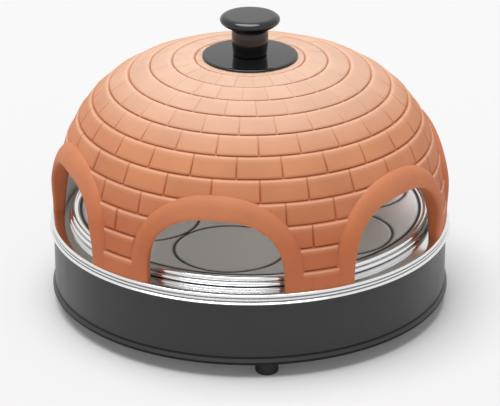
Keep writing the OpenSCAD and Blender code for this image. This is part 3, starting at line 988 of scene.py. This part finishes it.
# The foot that stands on the ledge, between one window and the next
foot_inner_r = dome_radius(ledge_z, wall)
foot_span = dome_radius(ledge_z) - foot_inner_r
foot_step = 0.5
clipped_sheet(
    [half_sector - k * foot_step for k in range(int(360 / windows / foot_step) + 1)],
    [0, 1],
    lambda azimuth, share: turned(azimuth, foot_inner_r + share * foot_span, ledge_z),
    lambda azimuth, share: abs(sideways_of(azimuth, foot_inner_r + share * wall)) - window_arch[0],
)
work.to_mesh(dome_mesh)
work.free()

sector_object = bpy.data.objects.new("terracotta_sector", dome_mesh)
bpy.context.scene.collection.objects.link(sector_object)

# The tree turns copies of the sector round the axis and gives each brick its
# own small height and tone, so no two sectors are alike
ring_tree = bpy.data.node_groups.new("ring_of_dome_sectors", "GeometryNodeTree")
ring_tree.is_modifier = True
for socket_name, socket_kind in (
    ("Sector", "NodeSocketGeometry"),
    ("Sectors", "NodeSocketInt"),
    ("First azimuth", "NodeSocketFloat"),
    ("Bricks in a sector", "NodeSocketFloat"),
    ("Brick height", "NodeSocketFloat"),
    ("Hand smoothing", "NodeSocketFloat"),
    ("Seed", "NodeSocketFloat"),
    ("Clay", "NodeSocketMaterial"),
):
    ring_tree.interface.new_socket(socket_name, in_out="INPUT", socket_type=socket_kind)
ring_tree.interface.new_socket("Dome", in_out="OUTPUT", socket_type="NodeSocketGeometry")
given = add_node(ring_tree, "NodeGroupInput").outputs
line = add_node(
    ring_tree,
    "GeometryNodeMeshLine",
    {"Count": given["Sectors"], "Offset": (0, 0, 0)},
    mode="OFFSET",
)
index = add_node(ring_tree, "GeometryNodeInputIndex")
step_angle = add_node(
    ring_tree, "ShaderNodeMath", {0: 2 * math.pi, 1: given["Sectors"]}, operation="DIVIDE"
)
turn = add_node(
    ring_tree,
    "ShaderNodeMath",
    {0: index, 1: step_angle, 2: given["First azimuth"]},
    operation="MULTIPLY_ADD",
)
copies = add_node(
    ring_tree,
    "GeometryNodeInstanceOnPoints",
    {
        "Points": line,
        "Instance": given["Sector"],
        "Rotation": add_node(ring_tree, "ShaderNodeCombineXYZ", {"Z": turn}),
    },
)
numbered = add_node(
    ring_tree,
    "GeometryNodeStoreNamedAttribute",
    {"Geometry": copies, "Name": "sector_number", "Value": index},
    data_type="FLOAT",
    domain="INSTANCE",
)
solid = add_node(ring_tree, "GeometryNodeRealizeInstances", {"Geometry": numbered})
stored = {
    name: add_node(
        ring_tree, "GeometryNodeInputNamedAttribute", {"Name": name}, data_type="FLOAT"
    )
    for name in ("sector_number", "brick", "course", "firm")
}

# A brick's number counts round the whole dome, so a brick that two sectors
# share moves as one
whole_number = add_node(
    ring_tree,
    "ShaderNodeMath",
    {0: stored["sector_number"], 1: given["Bricks in a sector"], 2: stored["brick"]},
    operation="MULTIPLY_ADD",
)
all_bricks = add_node(
    ring_tree,
    "ShaderNodeMath",
    {0: given["Bricks in a sector"], 1: given["Sectors"]},
    operation="MULTIPLY",
)
round_number = add_node(
    ring_tree, "ShaderNodeMath", {0: whole_number, 1: all_bricks}, operation="FLOORED_MODULO"
)
brick_key = add_node(
    ring_tree,
    "ShaderNodeCombineXYZ",
    {"X": round_number, "Y": stored["course"], "Z": given["Seed"]},
)
chance = add_node(
    ring_tree, "ShaderNodeTexWhiteNoise", {"Vector": brick_key}, noise_dimensions="3D"
).outputs["Value"]
toned = add_node(
    ring_tree,
    "GeometryNodeStoreNamedAttribute",
    {"Geometry": solid, "Name": "brick_tone", "Value": chance},
    data_type="FLOAT",
    domain="POINT",
)
centred = add_node(ring_tree, "ShaderNodeMath", {0: chance, 1: 0.5}, operation="SUBTRACT")
firm_lift = add_node(
    ring_tree, "ShaderNodeMath", {0: centred, 1: stored["firm"]}, operation="MULTIPLY"
)
brick_lift = add_node(
    ring_tree, "ShaderNodeMath", {0: firm_lift, 1: given["Brick height"]}, operation="MULTIPLY"
)

# Hollows and swellings of about this width, as hands leave them in wet clay
hand_mm = 36
clay_point = add_node(ring_tree, "GeometryNodeInputPosition")
hand_noise = add_node(
    ring_tree,
    "ShaderNodeTexNoise",
    {"Vector": clay_point, "Scale": 1000 / hand_mm, "Detail": 1.0},
    noise_dimensions="3D",
)
hand_centred = add_node(
    ring_tree, "ShaderNodeMath", {0: hand_noise.outputs["Fac"], 1: 0.5}, operation="SUBTRACT"
)
lift = add_node(
    ring_tree,
    "ShaderNodeMath",
    {0: hand_centred, 1: given["Hand smoothing"], 2: brick_lift},
    operation="MULTIPLY_ADD",
)
flattened = add_node(
    ring_tree, "ShaderNodeVectorMath", {0: clay_point, 1: (1.0, 1.0, 0.35)}, operation="MULTIPLY"
)
outwards = add_node(ring_tree, "ShaderNodeVectorMath", {0: flattened}, operation="NORMALIZE")
shove = add_node(
    ring_tree, "ShaderNodeVectorMath", {0: outwards, "Scale": lift}, operation="SCALE"
)
shaped = add_node(ring_tree, "GeometryNodeSetPosition", {"Geometry": toned, "Offset": shove})
joined = add_node(
    ring_tree, "GeometryNodeMergeByDistance", {"Geometry": shaped, "Distance": 0.02 / 1000}
)
clad = add_node(
    ring_tree, "GeometryNodeSetMaterial", {"Geometry": joined, "Material": given["Clay"]}
)
add_node(ring_tree, "NodeGroupOutput", {"Dome": clad})

# Terracotta, fired without glaze: warm orange clay, matt and finely gritty. It is
# painted paler towards the crown as painted light from above, bricks differ a little,
# their joints darken with depth as dust and painted shade, their top edges carry a
# painted highlight, and inside it is painted near white as painted light
cloud_mm = 42
grit_mm = 1.1
grit_depth = 0.12
paler_from = 130
palest_from = 250
clay = new_material("unglazed_terracotta", {"Roughness": 0.65, "Specular IOR Level": 0.3})
clay_tree = clay.node_tree
clay_place = add_node(clay_tree, "ShaderNodeTexCoord").outputs["Object"]
clay_height = add_node(clay_tree, "ShaderNodeSeparateXYZ", {0: clay_place}).outputs["Z"]
clay_marks = {
    name: add_node(clay_tree, "ShaderNodeAttribute", attribute_name=name).outputs["Fac"]
    for name in ("brick_tone", "joint", "painted_highlight", "inside")
}
clay_cloud = add_node(
    clay_tree,
    "ShaderNodeTexNoise",
    {"Vector": clay_place, "Scale": 1000 / cloud_mm, "Detail": 5.0},
)
clay_tone = add_node(
    clay_tree,
    "ShaderNodeMath",
    {0: clay_marks["brick_tone"], 1: 0.2, 2: clay_cloud.outputs["Fac"]},
    operation="MULTIPLY_ADD",
)
clay_shade = add_node(clay_tree, "ShaderNodeValToRGB", {"Fac": clay_tone})
shades = clay_shade.color_ramp.elements
shades[0].position, shades[0].color = 0.35, linear("#f1efee")
shades[1].position, shades[1].color = 0.8, linear("#ffffff")
# Painted light: the colour grows paler towards the crown, as if lit from above
clay_rise = add_node(
    clay_tree,
    "ShaderNodeMapRange",
    {"Value": clay_height, "From Min": paler_from / 1000, "From Max": palest_from / 1000},
)
clay_painted_top_light = add_node(clay_tree, "ShaderNodeValToRGB", {"Fac": clay_rise})
clay_painted_top_light.color_ramp.elements[0].color = linear("#b3643d")
clay_painted_top_light.color_ramp.elements[1].color = linear("#dab59e")
clay_painted_top_light.color_ramp.elements.new(0.6).color = linear("#c4835d")
clay_outside = add_node(
    clay_tree,
    "ShaderNodeMix",
    {0: 1.0, 6: clay_painted_top_light, 7: clay_shade},
    data_type="RGBA",
    blend_type="MULTIPLY",
)
# Joints are darkened with their depth, as dust and painted shade
clay_jointed = add_node(
    clay_tree,
    "ShaderNodeMix",
    {0: clay_marks["joint"], 6: clay_outside.outputs[2], 7: linear("#dcb8a2")},
    data_type="RGBA",
    blend_type="MULTIPLY",
)
# Painted highlight on the bricks' top edges
highlight_share = add_node(
    clay_tree, "ShaderNodeMath", {0: clay_marks["painted_highlight"], 1: 0.45}, operation="MULTIPLY"
)
clay_highlighted = add_node(
    clay_tree,
    "ShaderNodeMix",
    {0: highlight_share, 6: clay_jointed.outputs[2], 7: linear("#f2c6a8")},
    data_type="RGBA",
)
# Painted light: the inside is painted near white, to stand in for light inside the dome
clay_colour = add_node(
    clay_tree,
    "ShaderNodeMix",
    {0: clay_marks["inside"], 6: clay_highlighted.outputs[2], 7: linear("#ebe7e3")},
    data_type="RGBA",
)
feed(clay, "Base Color", clay_colour.outputs[2])
clay_grit = add_node(
    clay_tree,
    "ShaderNodeTexNoise",
    {"Vector": clay_place, "Scale": 1000 / grit_mm, "Detail": 3.0},
)
clay_bump = add_node(
    clay_tree,
    "ShaderNodeBump",
    {"Height": clay_grit.outputs["Fac"], "Strength": 0.7, "Distance": grit_depth / 1000},
)
feed(clay, "Normal", clay_bump.outputs["Normal"])

ring_modifier = sector_object.modifiers.new("ring_of_sectors", "NODES")
ring_modifier.node_group = ring_tree
identifiers = {
    s.name: s.identifier for s in ring_tree.interface.items_tree if s.in_out == "INPUT"
}
for socket_name, socket_value in (
    ("Sectors", windows),
    ("First azimuth", math.radians(window_azimuth)),
    ("Bricks in a sector", bricks_round / windows),
    ("Brick height", 0.5 / 1000),
    ("Hand smoothing", 0.5 / 1000),
    ("Seed", 7.0),
    ("Clay", clay),
):
    ring_modifier[identifiers[socket_name]] = socket_value
evaluated = sector_object.evaluated_get(bpy.context.evaluated_depsgraph_get())
whole_dome = bpy.data.meshes.new_from_object(evaluated)
bpy.data.objects.remove(sector_object)
finished(
    "terracotta_dome_bricked", whole_dome, clay, "dome", ["terracotta_dome"], 70
)


# ---- Studio ----
# A seamless white sweep under a large overhead softbox, as in product shots.
# The white of the background is the world seen past the floor.

floor_mesh = bpy.data.meshes.new("studio_floor")
floor_mesh.from_pydata([(-6, -4, 0), (6, -4, 0), (6, 12, 0), (-6, 12, 0)], [], [(0, 1, 2, 3)])
floor = bpy.data.objects.new("studio_floor", floor_mesh)
bpy.context.scene.collection.objects.link(floor)


def seen_ray(tree):
    """1 on the rays by which the camera, metal or glass sees the background."""
    ray = add_node(tree, "ShaderNodeLightPath").outputs
    direct = add_node(
        tree,
        "ShaderNodeMath",
        {0: ray["Is Camera Ray"], 1: ray["Is Glossy Ray"]},
        operation="MAXIMUM",
    )
    return add_node(
        tree, "ShaderNodeMath", {0: direct, 1: ray["Is Transmission Ray"]}, operation="MAXIMUM"
    )


# Matt white paper: brighter in the light that it throws back than as it is seen,
# where a faint glow of its own stands for the rest of the sweep
sweep = new_material("matt_white_sweep", {"Roughness": 1.0, "Specular IOR Level": 0.0})
sweep_tree = sweep.node_tree
sweep_seen = seen_ray(sweep_tree)
sweep_tone = add_node(
    sweep_tree,
    "ShaderNodeMix",
    {0: sweep_seen, 6: linear("#f3f3f3"), 7: linear("#d7d7d7")},
    data_type="RGBA",
)
feed(sweep, "Base Color", sweep_tone.outputs[2])
sweep_share = add_node(sweep_tree, "ShaderNodeMath", {0: sweep_seen, 1: 0.06}, operation="MULTIPLY")
sweep_glow = add_node(
    sweep_tree, "ShaderNodeEmission", {"Color": linear("#f6f6f6"), "Strength": 1.0}
)
sweep_mix = add_node(
    sweep_tree,
    "ShaderNodeMixShader",
    {0: sweep_share, 1: sweep_tree.nodes["Principled BSDF"], 2: sweep_glow},
)
sweep_tree.links.new(sweep_mix.outputs[0], sweep_tree.nodes["Material Output"].inputs["Surface"])
floor_mesh.materials.append(sweep)

# The fill is strongest at the horizon and fades overhead, where the softbox is
world = bpy.data.worlds.new("studio_white")
world.use_nodes = True
sky_tree = world.node_tree
sky_tree.nodes.clear()
sky_direction = add_node(sky_tree, "ShaderNodeTexCoord").outputs["Generated"]
sky_height = add_node(sky_tree, "ShaderNodeSeparateXYZ", {0: sky_direction}).outputs["Z"]
sky_strength = add_node(
    sky_tree,
    "ShaderNodeMapRange",
    {"Value": sky_height, "From Min": 0.0, "From Max": 0.9, "To Min": 1.15, "To Max": 0.15},
)
fill_sky = add_node(
    sky_tree, "ShaderNodeBackground", {"Color": linear("#f6f6f6"), "Strength": sky_strength}
)
white_sky = add_node(
    sky_tree, "ShaderNodeBackground", {"Color": linear("#f6f6f6"), "Strength": 1.0}
)
sky = add_node(sky_tree, "ShaderNodeMixShader", {0: seen_ray(sky_tree), 1: fill_sky, 2: white_sky})
add_node(sky_tree, "ShaderNodeOutputWorld", {"Surface": sky})
bpy.context.scene.world = world

softbox_data = bpy.data.lights.new("overhead_softbox", "SUN")
softbox_data.energy = 3.2
softbox_data.angle = math.radians(48)
softbox = bpy.data.objects.new("overhead_softbox", softbox_data)
softbox.rotation_euler = (0, math.radians(-6), 0)
bpy.context.scene.collection.objects.link(softbox)

bpy.context.scene.view_settings.view_transform = "Standard"
